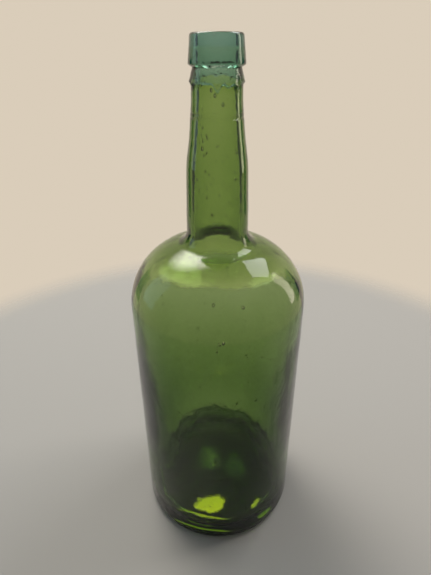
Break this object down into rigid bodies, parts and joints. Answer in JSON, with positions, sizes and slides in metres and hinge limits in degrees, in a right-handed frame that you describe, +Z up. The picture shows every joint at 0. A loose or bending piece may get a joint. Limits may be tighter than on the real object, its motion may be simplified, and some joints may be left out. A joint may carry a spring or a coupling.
{
  "type": "antique glass bottle",
  "caption": "Tall round blown bottle with a pushed-up base, domed shoulder, tapering neck and an applied two-part lip with a straight bore for a cork.",
  "frame": {"origin": "centre of the ring that the bottle stands on", "axes": "+Z up along the bottle's axis to the mouth, -Y towards the viewer of the picture"},
  "size_m": [0.1076, 0.1076, 0.305],
  "materials": {
    "body_glass": "deep olive-green blown glass, glossy, slightly wavy",
    "finish_glass": "sea-green hand-tooled glass, glossy"
  },
  "bodies": {
    "root": {"bottle_body": "body_glass", "string_ring": "finish_glass", "lip_collar": "finish_glass"}
  },
  "joints": []
}
